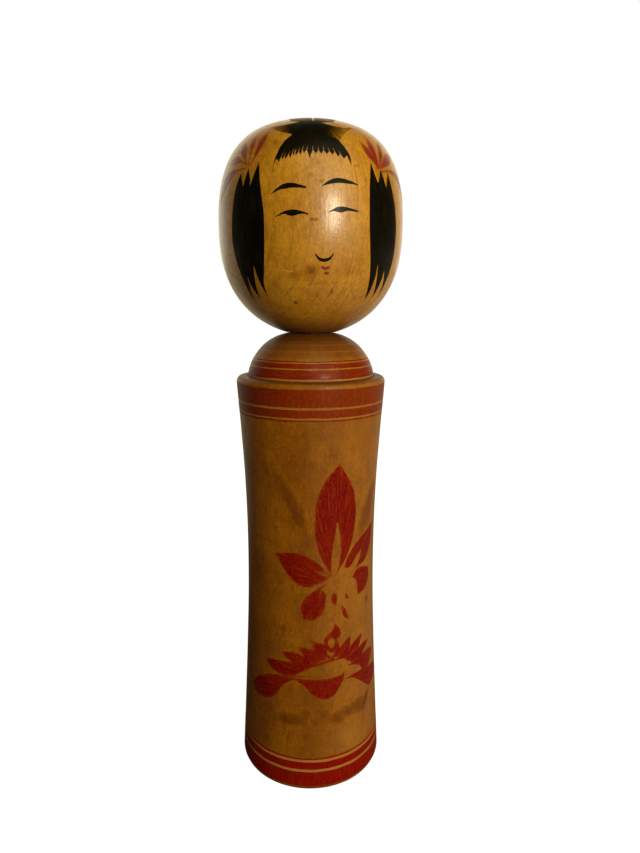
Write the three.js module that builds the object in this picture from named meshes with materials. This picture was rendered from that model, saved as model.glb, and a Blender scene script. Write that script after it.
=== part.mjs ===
// A Naruko kokeshi: a turned wooden doll in two pieces. The head carries its own neck tenon, and the
// tenon's swollen end is trapped in a socket that is wider inside than at its mouth, so the head turns
// all the way round on the body but doesn't pull off.
// Millimetres, +Z up. The origin is the centre of the base, and the doll faces -Y.
import * as THREE from "three";

// Driving dimensions.
const HEIGHT = 242; // eight sun
const HEAD_RADIUS = 32.75;
const HEAD_WIDEST_Z = 208.2;
const BASE_RADIUS = 27.85;
const WAIST_RADIUS = 24.7;
const SHOULDER_RADIUS = 27.7;
const LEDGE_Z = 155.25; // the flat ring round the foot of the dome
const DOME_RADIUS = 23.33;
const RIM_Z = 170.9; // the flat rim round the socket's mouth, where the head sits

// The joint.
const SEAT_GAP = 0.35; // between the head's seat and the rim
const RUNNING_GAP = 0.35; // between the tenon and the socket's wall
const NECK_RADIUS = 6.6;
const BEAD_RADIUS = 7.6; // the swollen end of the tenon
const TIP_RADIUS = 6.2;
const SEAT_RADIUS = 9.1; // outer edge of the head's flat seat
const RIM_RADIUS = 8.9;
const LIP_DEPTH = 3.9; // how far the socket's narrow mouth reaches down
const BEAD_SLOPE = 1.5; // height of the cone between neck and bead
const TENON_LENGTH = 16.85;
const SOCKET_DEPTH = 17;
const MOUTH_CHAMFER = 0.5;

// Small edges of the body.
const BASE_CHAMFER = 1;
const BASE_CHAMFER_INSET = 0.45;
const SHOULDER_ROUNDING = 1.8;
const GROOVE_DEPTH = 0.45;
const GROOVE_WIDTH = 0.7;

const TURNS = 60; // facets round the axis
const SQUASH_STEPS = 12; // points along each half of the head
const DOME_STEPS = 9;
const TRUNK_STEPS = 14;
const ROUNDING_STEPS = 3;

const point = (radius, z) => new THREE.Vector2(radius, z);

// A quarter of a rounded outline: radius R at its foot, closing on the axis at the given height, and
// squarer or rounder with the two powers. It runs from the radius "from" to the radius "to".
function roundedQuarter(radius, footZ, height, flank, crown, from, to, steps) {
  const shareAt = (r) => Math.pow(1 - Math.pow(r / radius, crown), 1 / flank);
  const start = Math.asin(shareAt(from));
  const end = Math.asin(shareAt(to));
  return Array.from({ length: steps + 1 }, (_, i) => {
    const share = Math.sin(start + ((end - start) * i) / steps);
    const r = radius * Math.pow(Math.max(1 - Math.pow(share, flank), 0), 1 / crown);
    return point(r, footZ + height * share);
  });
}

// The height that makes a rounded quarter pass through a given radius at a given distance from its foot.
const quarterHeight = (radius, flank, crown, r, rise) =>
  rise / Math.pow(1 - Math.pow(r / radius, crown), 1 / flank);

function arc(centreRadius, centreZ, size, startAngle, endAngle, steps) {
  return Array.from({ length: steps + 1 }, (_, i) => {
    const angle = startAngle + ((endAngle - startAngle) * i) / steps;
    return point(centreRadius + size * Math.cos(angle), centreZ + size * Math.sin(angle));
  });
}

function headProfile() {
  const seatZ = RIM_Z + SEAT_GAP;
  const neckEndZ = RIM_Z - LIP_DEPTH - SEAT_GAP;
  const beadZ = neckEndZ - BEAD_SLOPE;
  const tipZ = seatZ - TENON_LENGTH;
  const tenon = [
    point(0, tipZ),
    point(TIP_RADIUS - 0.5, tipZ),
    point(TIP_RADIUS, tipZ + 1.5),
    point(BEAD_RADIUS, beadZ - 4),
    point(BEAD_RADIUS, beadZ),
    point(NECK_RADIUS, neckEndZ),
    point(NECK_RADIUS, seatZ),
  ];
  const flank = 2.485;
  const crown = 1.963;
  const depth = quarterHeight(HEAD_RADIUS, flank, crown, SEAT_RADIUS, HEAD_WIDEST_Z - seatZ);
  const cheeks = roundedQuarter(
    HEAD_RADIUS, HEAD_WIDEST_Z, -depth, flank, crown, SEAT_RADIUS, 0.9999 * HEAD_RADIUS, SQUASH_STEPS,
  );
  cheeks.pop();
  const top = roundedQuarter(
    HEAD_RADIUS, HEAD_WIDEST_Z, HEIGHT - HEAD_WIDEST_Z, 2.42, 3.18, HEAD_RADIUS, 0, SQUASH_STEPS,
  );
  return [...tenon, ...cheeks, ...top];
}

// The trunk's side, from the base chamfer to the shoulder: widest at both ends, with a long waist.
function trunkProfile(topZ) {
  const waist = new THREE.SplineCurve([
    point(BASE_RADIUS, BASE_CHAMFER),
    point(WAIST_RADIUS + 2.25, 20),
    point(WAIST_RADIUS + 1.05, 46),
    point(WAIST_RADIUS + 0.15, 72),
    point(WAIST_RADIUS + 0.05, 96),
    point(WAIST_RADIUS + 0.65, 117),
    point(WAIST_RADIUS + 1.6, 133),
    point(SHOULDER_RADIUS, topZ),
  ]);
  return waist.getPoints(TRUNK_STEPS);
}

function bodyProfile() {
  const base = [point(0, 0), point(BASE_RADIUS - BASE_CHAMFER_INSET, 0)];
  const shoulderZ = LEDGE_Z - SHOULDER_ROUNDING;
  const shoulder = arc(
    SHOULDER_RADIUS - SHOULDER_ROUNDING, shoulderZ, SHOULDER_ROUNDING, 0, Math.PI / 2, ROUNDING_STEPS,
  );
  const groove = [
    point(DOME_RADIUS + GROOVE_WIDTH, LEDGE_Z),
    point(DOME_RADIUS + GROOVE_WIDTH / 2, LEDGE_Z - GROOVE_DEPTH),
  ];
  const domeFootZ = LEDGE_Z + 0.7;
  const flank = 1.496;
  const crown = 2.955;
  const domeHeight = quarterHeight(DOME_RADIUS, flank, crown, RIM_RADIUS, RIM_Z - domeFootZ);
  const dome = roundedQuarter(
    DOME_RADIUS, domeFootZ, domeHeight, flank, crown, DOME_RADIUS, RIM_RADIUS, DOME_STEPS,
  );
  const mouth = NECK_RADIUS + RUNNING_GAP;
  const chamber = BEAD_RADIUS + RUNNING_GAP;
  const lipEndZ = RIM_Z - LIP_DEPTH;
  const floorZ = RIM_Z - SOCKET_DEPTH;
  const socket = [
    point(mouth + MOUTH_CHAMFER, RIM_Z),
    point(mouth, RIM_Z - MOUTH_CHAMFER),
    point(mouth, lipEndZ),
    point(chamber, lipEndZ - BEAD_SLOPE),
    point(chamber, lipEndZ - BEAD_SLOPE - 4.4),
    point(TIP_RADIUS + RUNNING_GAP, floorZ + 1.5),
    point(TIP_RADIUS + RUNNING_GAP - 0.5, floorZ),
    point(0, floorZ),
  ];
  const trunk = trunkProfile(shoulderZ);
  trunk.pop();
  return [...base, ...trunk, ...shoulder, ...groove, point(DOME_RADIUS, LEDGE_Z), ...dome, ...socket];
}

// Turns a profile of (radius, z) about the +Z axis.
function turned(name, profile, material) {
  const geometry = new THREE.LatheGeometry(profile, TURNS);
  geometry.rotateX(Math.PI / 2);
  const mesh = new THREE.Mesh(geometry, material);
  mesh.name = name;
  return mesh;
}

const headWood = new THREE.MeshStandardMaterial({ color: 0xc58a3a, roughness: 0.38, metalness: 0 });
const bodyWood = new THREE.MeshStandardMaterial({ color: 0xa9671f, roughness: 0.42, metalness: 0 });

const doll = new THREE.Group();
doll.name = "kokeshi_doll";
doll.add(turned("body", bodyProfile(), bodyWood));
doll.add(turned("head", headProfile(), headWood));

export default doll;
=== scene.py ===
"""The looks of a Naruko kokeshi, a turned wooden doll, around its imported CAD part.

The head and the body are turned again here with fine facets. Each brush stroke, dyed band and lock of hair
is a thin closed film that lies on the wood. Lengths are in millimetres until a mesh is made. Azimuths are in
degrees, 0 at the doll's front and positive towards +X, and a reach is a length down the head from its top.
"""

import math

import bpy
import numpy as np
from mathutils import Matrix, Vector
from mathutils.geometry import delaunay_2d_cdt


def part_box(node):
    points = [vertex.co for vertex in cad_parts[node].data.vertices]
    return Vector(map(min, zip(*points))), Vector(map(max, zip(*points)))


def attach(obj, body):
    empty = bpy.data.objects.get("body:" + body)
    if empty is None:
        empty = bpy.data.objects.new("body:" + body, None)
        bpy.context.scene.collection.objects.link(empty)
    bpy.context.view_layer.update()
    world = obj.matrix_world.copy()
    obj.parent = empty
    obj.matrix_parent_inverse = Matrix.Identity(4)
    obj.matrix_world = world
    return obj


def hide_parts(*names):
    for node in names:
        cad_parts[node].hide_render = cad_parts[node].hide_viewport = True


MM = 0.001

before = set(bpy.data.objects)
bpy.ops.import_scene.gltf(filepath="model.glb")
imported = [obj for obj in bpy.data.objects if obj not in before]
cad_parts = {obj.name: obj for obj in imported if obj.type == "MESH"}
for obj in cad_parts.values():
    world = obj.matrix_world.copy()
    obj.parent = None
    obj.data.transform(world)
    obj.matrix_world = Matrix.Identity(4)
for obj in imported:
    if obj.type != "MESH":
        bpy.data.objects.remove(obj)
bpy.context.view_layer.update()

# Sizes of the two turned pieces, as the CAD part has them.
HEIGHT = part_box("head")[1].z / MM
HEAD_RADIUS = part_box("head")[1].x / MM
HEAD_WIDEST_Z = 208.2
BASE_RADIUS = 27.85
WAIST_RADIUS = 24.7
SHOULDER_RADIUS = 27.7
LEDGE_Z = 155.25
DOME_RADIUS = 23.33
DOME_FOOT_Z = LEDGE_Z + 0.7
RIM_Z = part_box("body")[1].z / MM
RIM_RADIUS = 8.9
SEAT_Z = RIM_Z + 0.35
SEAT_RADIUS = 9.1
SHOULDER_ROUNDING = 1.8
BASE_CHAMFER = 1.0
CHAMFER_WIDTH = 0.45
GROOVE_WIDTH = 0.7
GROOVE_DEPTH = 0.45
# Places on the trunk's side: height, and radius past the waist's.
TRUNK_STATIONS = ((20, 2.25), (46, 1.05), (72, 0.15), (96, 0.05), (117, 0.65), (133, 1.6))
CHEEKS = (2.485, 1.963)  # powers of the head's outline at its flank and crown, below its widest
HEAD_TOP = (2.42, 3.18)  # the same above it
DOME = (1.496, 2.955)

# The joint that is hidden inside.
TENON_TIP_Z = SEAT_Z - 16.85
TENON_TIP_RADIUS = 5.7
TENON_RADIUS = 6.6
BEAD_RADIUS = 7.6
MOUTH_RADIUS = 6.95
CHAMBER_RADIUS = 7.95
SOCKET_FLOOR_Z = 153.9

# How finely things are cut.
TURNS = 224  # facets round the axis
ROW = 0.8  # length of a facet along a profile
BAND_ROW = 0.6  # the same on a dyed band
QUARTER_STEPS = 240  # steps of a rounded quarter before it is cut into even facets
SPLINE_STEPS = 40  # the same for each span of the trunk's curve
CURVE_STEP = 0.35  # length of a step along a painted outline
FILM_GRID = 1.1  # spacing of the points inside a painted outline
SPOT_GRID = 0.4  # the same inside a small spot
GRID_ROW = 0.87  # distance between the rows of those points, as a share of their spacing
GRID_CLEAR = 0.45  # the same from an outline to the nearest of them
SAME_POINT = 1e-4  # points nearer than this are one
FILM_TOP = 0.055  # height of a film's face over the wood
FILM_BOTTOM = -0.05
STAIN_TOP = 0.015  # height of a stain's face, whose soft edge must not show
RELIEF_DEPTH = 0.08  # depth of the wood's fine relief
WAX_ROUGHNESS = 0.22


# ---------------------------------------------------------------- profiles


def rounded_quarter(radius, foot_z, height, flank, crown, start_r, end_r):
    """A quarter of a rounded outline as rows of (radius, z), closing on the axis at the given height."""
    share = [(1 - min(1, r / radius) ** crown) ** (1 / flank) for r in (start_r, end_r)]
    t = np.sin(np.linspace(math.asin(share[0]), math.asin(share[1]), QUARTER_STEPS + 1))
    r = radius * np.maximum(1 - t**flank, 0) ** (1 / crown)
    return np.column_stack([r, foot_z + height * t])


def quarter_height(radius, flank, crown, r, rise):
    """The height at which a rounded quarter passes through a radius at a given distance from its foot."""
    return rise / (1 - (r / radius) ** crown) ** (1 / flank)


def spline(points):
    """A uniform Catmull-Rom curve, the one that the CAD trunk follows."""
    p = np.array([points[0], *points, points[-1]], float)
    t = np.arange(SPLINE_STEPS)[:, None] / SPLINE_STEPS
    rows = []
    for a, b, c, d in zip(p[:-3], p[1:-2], p[2:-1], p[3:]):
        m, n = (c - a) / 2, (d - b) / 2
        rows.append((2 * b - 2 * c + m + n) * t**3 + (3 * c - 3 * b - 2 * m - n) * t**2 + m * t + b)
    return np.vstack([*rows, p[-1:]])


def even(points, step=ROW):
    """The same line with points an even step apart, its ends kept."""
    points = np.asarray(points, float)
    along = np.concatenate([[0], np.cumsum(np.hypot(*np.diff(points, axis=0).T))])
    at = np.linspace(0, along[-1], max(1, math.ceil(along[-1] / step)) + 1)
    return np.column_stack([np.interp(at, along, points[:, 0]), np.interp(at, along, points[:, 1])])


def joined(*lines):
    """Lines end to end, without the points that repeat."""
    rows = np.vstack(lines)
    new = np.hypot(*np.diff(rows, axis=0).T) > SAME_POINT
    return rows[np.concatenate([[True], new])]


def head_lines():
    """(tenon, outside): the hidden and the visible part of the head's profile, from below upwards."""
    centre, edge = (0, TENON_TIP_Z), (TENON_TIP_RADIUS, TENON_TIP_Z)
    bevel = (TENON_TIP_RADIUS + 0.5, TENON_TIP_Z + 1.5)
    bead = [(BEAD_RADIUS, 161.15), (BEAD_RADIUS, 165.15), (TENON_RADIUS, 166.65)]
    seat = (TENON_RADIUS, SEAT_Z)
    tip = [even([centre, edge]), even([edge, bevel])]
    tenon = joined(*tip, even([bevel, *bead, seat], 1), even([seat, (SEAT_RADIUS, SEAT_Z)]))
    depth = quarter_height(HEAD_RADIUS, *CHEEKS, SEAT_RADIUS, HEAD_WIDEST_Z - SEAT_Z)
    cheeks = rounded_quarter(HEAD_RADIUS, HEAD_WIDEST_Z, -depth, *CHEEKS, SEAT_RADIUS, HEAD_RADIUS)
    top = rounded_quarter(HEAD_RADIUS, HEAD_WIDEST_Z, HEIGHT - HEAD_WIDEST_Z, *HEAD_TOP, HEAD_RADIUS, 0)
    return tenon, even(joined(cheeks, top))


def trunk_line():
    """The body's side with the shoulder's rounding, from the base chamfer up to the ledge."""
    shoulder_z = LEDGE_Z - SHOULDER_ROUNDING
    stations = [(WAIST_RADIUS + past, z) for z, past in TRUNK_STATIONS]
    side = spline([(BASE_RADIUS, BASE_CHAMFER), *stations, (SHOULDER_RADIUS, shoulder_z)])
    turn = np.linspace(0, math.pi / 2, 13)
    centre = SHOULDER_RADIUS - SHOULDER_ROUNDING
    rounding = np.column_stack([
        centre + SHOULDER_ROUNDING * np.cos(turn),
        shoulder_z + SHOULDER_ROUNDING * np.sin(turn),
    ])
    return joined(even(side), rounding)


def dome_line():
    height = quarter_height(DOME_RADIUS, *DOME, RIM_RADIUS, RIM_Z - DOME_FOOT_Z)
    dome = rounded_quarter(DOME_RADIUS, DOME_FOOT_Z, height, *DOME, DOME_RADIUS, RIM_RADIUS)
    return even(dome, 0.5)


def body_profile(trunk, dome):
    foot = (BASE_RADIUS - CHAMFER_WIDTH, 0)
    base = even([(0, 0), foot])
    chamfer = even([foot, (BASE_RADIUS, BASE_CHAMFER)], 0.3)
    ledge = even([trunk[-1], (DOME_RADIUS + GROOVE_WIDTH, LEDGE_Z)])
    bottom = (DOME_RADIUS + GROOVE_WIDTH / 2, LEDGE_Z - GROOVE_DEPTH)
    groove = [bottom, (DOME_RADIUS, LEDGE_Z), (DOME_RADIUS, DOME_FOOT_Z)]
    mouth = [(MOUTH_RADIUS + 0.5, RIM_Z), (MOUTH_RADIUS, RIM_Z - 0.5), (MOUTH_RADIUS, 167)]
    chamber = [(CHAMBER_RADIUS, 165.5), (CHAMBER_RADIUS, 161.1), (6.55, 155.4)]
    socket = even([*mouth, *chamber, (6.05, SOCKET_FLOOR_Z), (0, SOCKET_FLOOR_Z)])
    return joined(base, chamfer, trunk, ledge, groove, dome, even([dome[-1], socket[0]]), socket)


class Skin:
    """The outside of a turned piece, where films lie."""

    def __init__(self, line):
        self.r, self.z = line.T
        steps = np.hypot(np.diff(self.r), np.diff(self.z))
        self.reach = np.concatenate([np.cumsum(steps[::-1])[::-1], [0]])
        tangent = np.gradient(line, axis=0)
        tangent /= np.hypot(*tangent.T)[:, None]
        self.out, self.up = tangent[:, 1], -tangent[:, 0]

    def z_at_reach(self, reach):
        return np.interp(-np.asarray(reach), -self.reach, self.z)

    def place(self, azimuth, z, lift):
        """Points at those azimuths and heights, lifted off the wood, and the directions square to it."""
        turn = np.radians(azimuth)
        out, up = np.interp(z, self.z, self.out), np.interp(z, self.z, self.up)
        r = np.interp(z, self.z, self.r) + lift * out
        normals = np.column_stack([out * np.sin(turn), -out * np.cos(turn), up])
        return np.column_stack([r * np.sin(turn), -r * np.cos(turn), z + lift * up]), normals


class Wall:
    """Draws on a skin's side: a point is (azimuth, z), and the flat sheet is its width at one radius."""

    def __init__(self, skin, radius):
        self.skin, self.scale = skin, math.radians(radius)

    def flat(self, points):
        return np.asarray(points, float) * (self.scale, 1)

    def place(self, flat, lift):
        return self.skin.place(flat[:, 0] / self.scale, flat[:, 1], lift)


class Crown:
    """Draws on the head from above: a point is (azimuth, reach), and the flat sheet keeps every reach."""

    def __init__(self, skin):
        self.skin = skin

    def flat(self, points):
        azimuth, reach = np.asarray(points, float).T
        return np.column_stack([reach * np.sin(np.radians(azimuth)), -reach * np.cos(np.radians(azimuth))])

    def place(self, flat, lift):
        azimuth = np.degrees(np.arctan2(flat[:, 0], -flat[:, 1]))
        return self.skin.place(azimuth, self.skin.z_at_reach(np.hypot(*flat.T)), lift)


class Plan(Crown):
    """The same sheet as Crown, where a point is (x, y) seen from above, before it is laid on the head."""

    def flat(self, points):
        return np.asarray(points, float)


# ---------------------------------------------------------------- meshes


def new_object(name, data):
    made = bpy.data.objects.new(name, data)
    bpy.context.scene.collection.objects.link(made)
    return made


def new_piece(name, points, faces, body, material):
    """An object of those points, in millimetres, that moves with a body."""
    mesh = bpy.data.meshes.new(name)
    mesh.from_pydata((np.asarray(points) * MM).tolist(), [], [list(map(int, f)) for f in faces])
    mesh.polygons.foreach_set("use_smooth", [True] * len(mesh.polygons))
    mesh.materials.append(material)
    piece = new_object(name, mesh)
    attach(piece, body)
    return piece


def give_number(piece, name, values):
    attribute = piece.data.attributes.new(name, "FLOAT", "POINT")
    attribute.data.foreach_set("value", np.asarray(values, np.float32))


def give_vector(piece, name, rows):
    attribute = piece.data.attributes.new(name, "FLOAT_VECTOR", "POINT")
    attribute.data.foreach_set("vector", np.asarray(rows, np.float32).ravel())


def ring_faces(rings):
    """The quads between that many rings of points, each ring beside the one before it."""
    faces = []
    for first in range(0, (rings - 1) * TURNS, TURNS):
        for j in range(TURNS):
            a, b = first + j, first + (j + 1) % TURNS
            faces.append((a, b, b + TURNS, a + TURNS))
    return faces


def turned_solid(name, profile, body, material):
    """The closed solid of a profile that starts and ends on the axis."""
    turn = np.arange(TURNS) * 2 * math.pi / TURNS
    rings = profile[1:-1]
    x = np.outer(rings[:, 0], np.sin(turn))
    y = -np.outer(rings[:, 0], np.cos(turn))
    z = np.repeat(rings[:, 1], TURNS)
    low, high = (0, 0, profile[0, 1]), (0, 0, profile[-1, 1])
    points = np.vstack([np.column_stack([x.ravel(), y.ravel(), z]), low, high])
    last = len(rings) * TURNS
    side = np.arange(TURNS)
    after = (side + 1) % TURNS
    faces = [(last, after[j], j) for j in side]
    faces += ring_faces(len(rings))
    top = last - TURNS
    faces += [(top + j, top + after[j], last + 1) for j in side]
    piece = new_piece(name, points, faces, body, material)
    piece.data.set_sharp_from_angle(angle=math.radians(30))
    return piece


def curve(points):
    """A smooth line through the points, which may have a width or other numbers beside their place."""
    points = np.asarray(points, float)
    chords = np.diff(points, axis=0)
    spans = np.sqrt(np.hypot(chords[:, 0], chords[:, 1]))[:, None]
    slopes = chords / spans
    inner = (slopes[:-1] * spans[1:] + slopes[1:] * spans[:-1]) / (spans[:-1] + spans[1:])
    tangents = np.vstack([slopes[:1], inner, slopes[-1:]])
    rows = []
    for i, span in enumerate(spans[:, 0]):
        steps = max(1, math.ceil(span**2 / CURVE_STEP))
        t = np.arange(steps)[:, None] / steps
        rows.append(
            (1 + 2 * t) * (1 - t) ** 2 * points[i]
            + t * (1 - t) ** 2 * span * tangents[i]
            + t**2 * (3 - 2 * t) * points[i + 1]
            + t**2 * (t - 1) * span * tangents[i + 1]
        )
    return np.vstack([*rows, points[-1:]])


def outline(chart, *runs):
    """A closed outline on a chart's sheet. Each run is smooth and starts where the one before it ends, the
    first where the last ends. A corner lies where two runs meet."""
    ends = [run[-1] for run in runs]
    starts = [ends[-1], *ends[:-1]]
    return np.vstack([curve(chart.flat([start, *run]))[:-1] for start, run in zip(starts, runs)])


def straight(points):
    """Runs that go straight from each point to the next."""
    return [[point] for point in points]


def stroke(chart, points):
    """The outline of a brush stroke through rows of (first, second, width)."""
    points = np.asarray(points, float)
    line = curve(np.column_stack([chart.flat(points[:, :2]), points[:, 2]]))
    along = np.gradient(line[:, :2], axis=0)
    along /= np.hypot(*along.T)[:, None]
    side = np.column_stack([-along[:, 1], along[:, 0]]) * np.maximum(line[:, 2:], 0.02) / 2
    return np.vstack([line[:, :2] - side, (line[:, :2] + side)[::-1]])


def turns_round(points, loop):
    """How many times a loop turns round each point."""
    a, b = loop, np.roll(loop, -1, axis=0)
    x, y = points[:, :1], points[:, 1:]
    above_a, above_b = a[:, 1] > y, b[:, 1] > y
    side = (b[:, 0] - a[:, 0]) * (y - a[:, 1]) - (x - a[:, 0]) * (b[:, 1] - a[:, 1])
    rising = ~above_a & above_b & (side > 0)
    falling = above_a & ~above_b & (side < 0)
    return rising.sum(axis=1) - falling.sum(axis=1)


def distances(points, others):
    """How far each point is from each of the others."""
    return np.hypot(*(points[:, None] - others[None]).transpose(2, 0, 1))


def covered(points, loops, gaps):
    inside = np.zeros(len(points), bool)
    for loop in loops:
        inside |= turns_round(points, loop) != 0
    for gap in gaps:
        inside &= turns_round(points, gap) == 0
    return inside


def film_sheet(loops, gaps, spacing):
    """The flat points and triangles of a film: everything inside a loop and outside the gaps."""
    points, edges = [], []
    for loop in [*loops, *gaps]:
        first = len(points)
        points += list(loop)
        edges += [(first + i, first + (i + 1) % len(loop)) for i in range(len(loop))]
    rim = np.array(points)
    low, high = rim.min(axis=0), rim.max(axis=0)
    grid = np.array([
        (x + (row % 2) * spacing / 2, y)
        for row, y in enumerate(np.arange(low[1], high[1], spacing * GRID_ROW))
        for x in np.arange(low[0], high[0], spacing)
    ]).reshape(-1, 2)
    if len(grid):
        grid = grid[covered(grid, loops, gaps)]
    if len(grid):
        clear = distances(grid, rim).min(axis=1)
        points += list(grid[clear > spacing * GRID_CLEAR])
    made = delaunay_2d_cdt([Vector(p) for p in points], edges, [], 0, SAME_POINT, False)
    flat = np.array([tuple(p) for p in made[0]])
    triangles = np.array([tuple(t) for t in made[2]])
    a, b, c = (flat[triangles[:, i]] for i in range(3))
    twice_area = (b[:, 0] - a[:, 0]) * (c[:, 1] - a[:, 1]) - (b[:, 1] - a[:, 1]) * (c[:, 0] - a[:, 0])
    triangles[twice_area < 0] = triangles[twice_area < 0][:, ::-1]
    keep = covered((a + b + c) / 3, loops, gaps) & (np.abs(twice_area) > 1e-5)
    used, index = np.unique(triangles[keep], return_inverse=True)
    return flat[used], index.reshape(-1, 3)


def closed_shell(name, top, bottom, normals, faces, body, material):
    """A thin solid between two copies of an open sheet, shaded with the wood's own directions."""
    count = len(top)
    ways = {(int(a), int(b)) for f in faces for a, b in zip(f, np.roll(f, -1))}
    rim = sorted((a, b) for a, b in ways if (b, a) not in ways)
    all_faces = [tuple(f) for f in faces]
    all_faces += [tuple(count + i for i in f[::-1]) for f in faces]
    all_faces += [(b, a, count + a, count + b) for a, b in rim]
    piece = new_piece(name, np.vstack([top, bottom]), all_faces, body, material)
    mesh = piece.data
    corner = np.zeros(len(mesh.loops), int)
    mesh.loops.foreach_get("vertex_index", corner)
    directions = np.vstack([normals, -normals])[corner]
    walls = len(mesh.polygons) - len(rim)
    flat_normals = np.zeros(len(mesh.polygons) * 3)
    mesh.polygons.foreach_get("normal", flat_normals)
    first_wall_corner = mesh.polygons[walls].loop_start
    directions[first_wall_corner:] = np.repeat(flat_normals.reshape(-1, 3)[walls:], 4, axis=0)
    mesh.normals_split_custom_set(directions.tolist())
    return piece


def film(
    name, chart, loops, body, material,
    gaps=(), brush=None, strength=None, lift=FILM_TOP, spacing=FILM_GRID,
):
    """A closed film on a chart. Its brush attribute runs across and along the hairs of the brush, and its
    strength attribute says how much paint the brush left."""
    flat, faces = film_sheet(loops, gaps, spacing)
    top, normals = chart.place(flat, lift)
    bottom, _ = chart.place(flat, FILM_BOTTOM)
    piece = closed_shell(name, top, bottom, normals, faces, body, material)
    hairs = flat if brush is None else brush(flat)
    paint = np.ones(len(flat)) if strength is None else strength(flat)
    give_vector(piece, "brush", np.tile(np.column_stack([hairs, np.zeros(len(flat))]), (2, 1)))
    give_number(piece, "strength", np.tile(paint, 2))


def band(name, skin, low, high, thinning, material, seed):
    """A dyed ring round the body, with the slightly uneven edges of a brush held to turning wood, whose dye
    is thinner on one side. The dye's streaks run round the dome, and down the trunk."""
    rows = math.ceil((high - low) / BAND_ROW)
    turn = np.arange(TURNS) * 2 * math.pi / TURNS - math.pi
    draw = np.random.default_rng(seed)
    edges = []
    for z in (low, high):
        waves = draw.uniform(0, 2 * math.pi, 7)
        sizes = draw.uniform(0.01, 0.035, 7)
        edges.append(z + sum(s * np.sin(k * 3 * turn + w) for k, (s, w) in enumerate(zip(sizes, waves), 1)))
    share = np.linspace(0, 1, rows + 1)[:, None]
    z = (edges[0] * (1 - share) + edges[1] * share).ravel()
    azimuth = np.tile(np.degrees(turn), rows + 1)
    top, normals = skin.place(azimuth, z, FILM_TOP)
    bottom, _ = skin.place(azimuth, z, FILM_BOTTOM)
    piece = closed_shell(name, top, bottom, normals, ring_faces(rows + 1), "body", material)
    around = np.radians(azimuth) * BASE_RADIUS
    across, along = (z, around) if skin is DOME_SKIN else (around, z)
    give_vector(piece, "brush", np.tile(np.column_stack([across, along, np.zeros(len(z))]), (2, 1)))
    dye = 1 - thinning * (0.5 + 0.5 * np.cos(np.radians(azimuth - THIN_DYE_SIDE)))
    give_number(piece, "strength", np.tile(dye, 2))


# ---------------------------------------------------------------- materials


def node(tree, kind, inputs=None, **settings):
    """A new node. An input takes a number, a colour, or another node's output."""
    made = tree.nodes.new(kind)
    for key, value in settings.items():
        setattr(made, key, value)
    for key, value in (inputs or {}).items():
        if isinstance(value, bpy.types.NodeSocket):
            tree.links.new(value, made.inputs[key])
        else:
            made.inputs[key].default_value = value
    return made


def maths(tree, operation, *values):
    made = node(tree, "ShaderNodeMath", dict(enumerate(values)), operation=operation)
    return made.outputs[0]


def noise(tree, place, stretch, detail=3.0, rough=0.55):
    """Noise in millimetres, with the cells stretched to those lengths along the axes."""
    mapped = node(tree, "ShaderNodeMapping", {"Vector": place, "Scale": tuple(1 / s for s in stretch)})
    made = node(
        tree, "ShaderNodeTexNoise",
        {"Vector": mapped.outputs[0], "Scale": 1.0, "Detail": detail, "Roughness": rough},
    )
    return made.outputs["Fac"]


def between(tree, value, low, high, to_low=0.0, to_high=1.0, smooth=True):
    made = node(
        tree, "ShaderNodeMapRange",
        {"Value": value, "From Min": low, "From Max": high, "To Min": to_low, "To Max": to_high},
        interpolation_type="SMOOTHSTEP" if smooth else "LINEAR",
    )
    return made.outputs[0]


def mixed(tree, factor, first, second):
    made = node(tree, "ShaderNodeMix", {0: factor, 6: first, 7: second}, data_type="RGBA")
    return made.outputs[2]


def rgb(red, green, blue):
    return (red, green, blue, 1.0)


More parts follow.
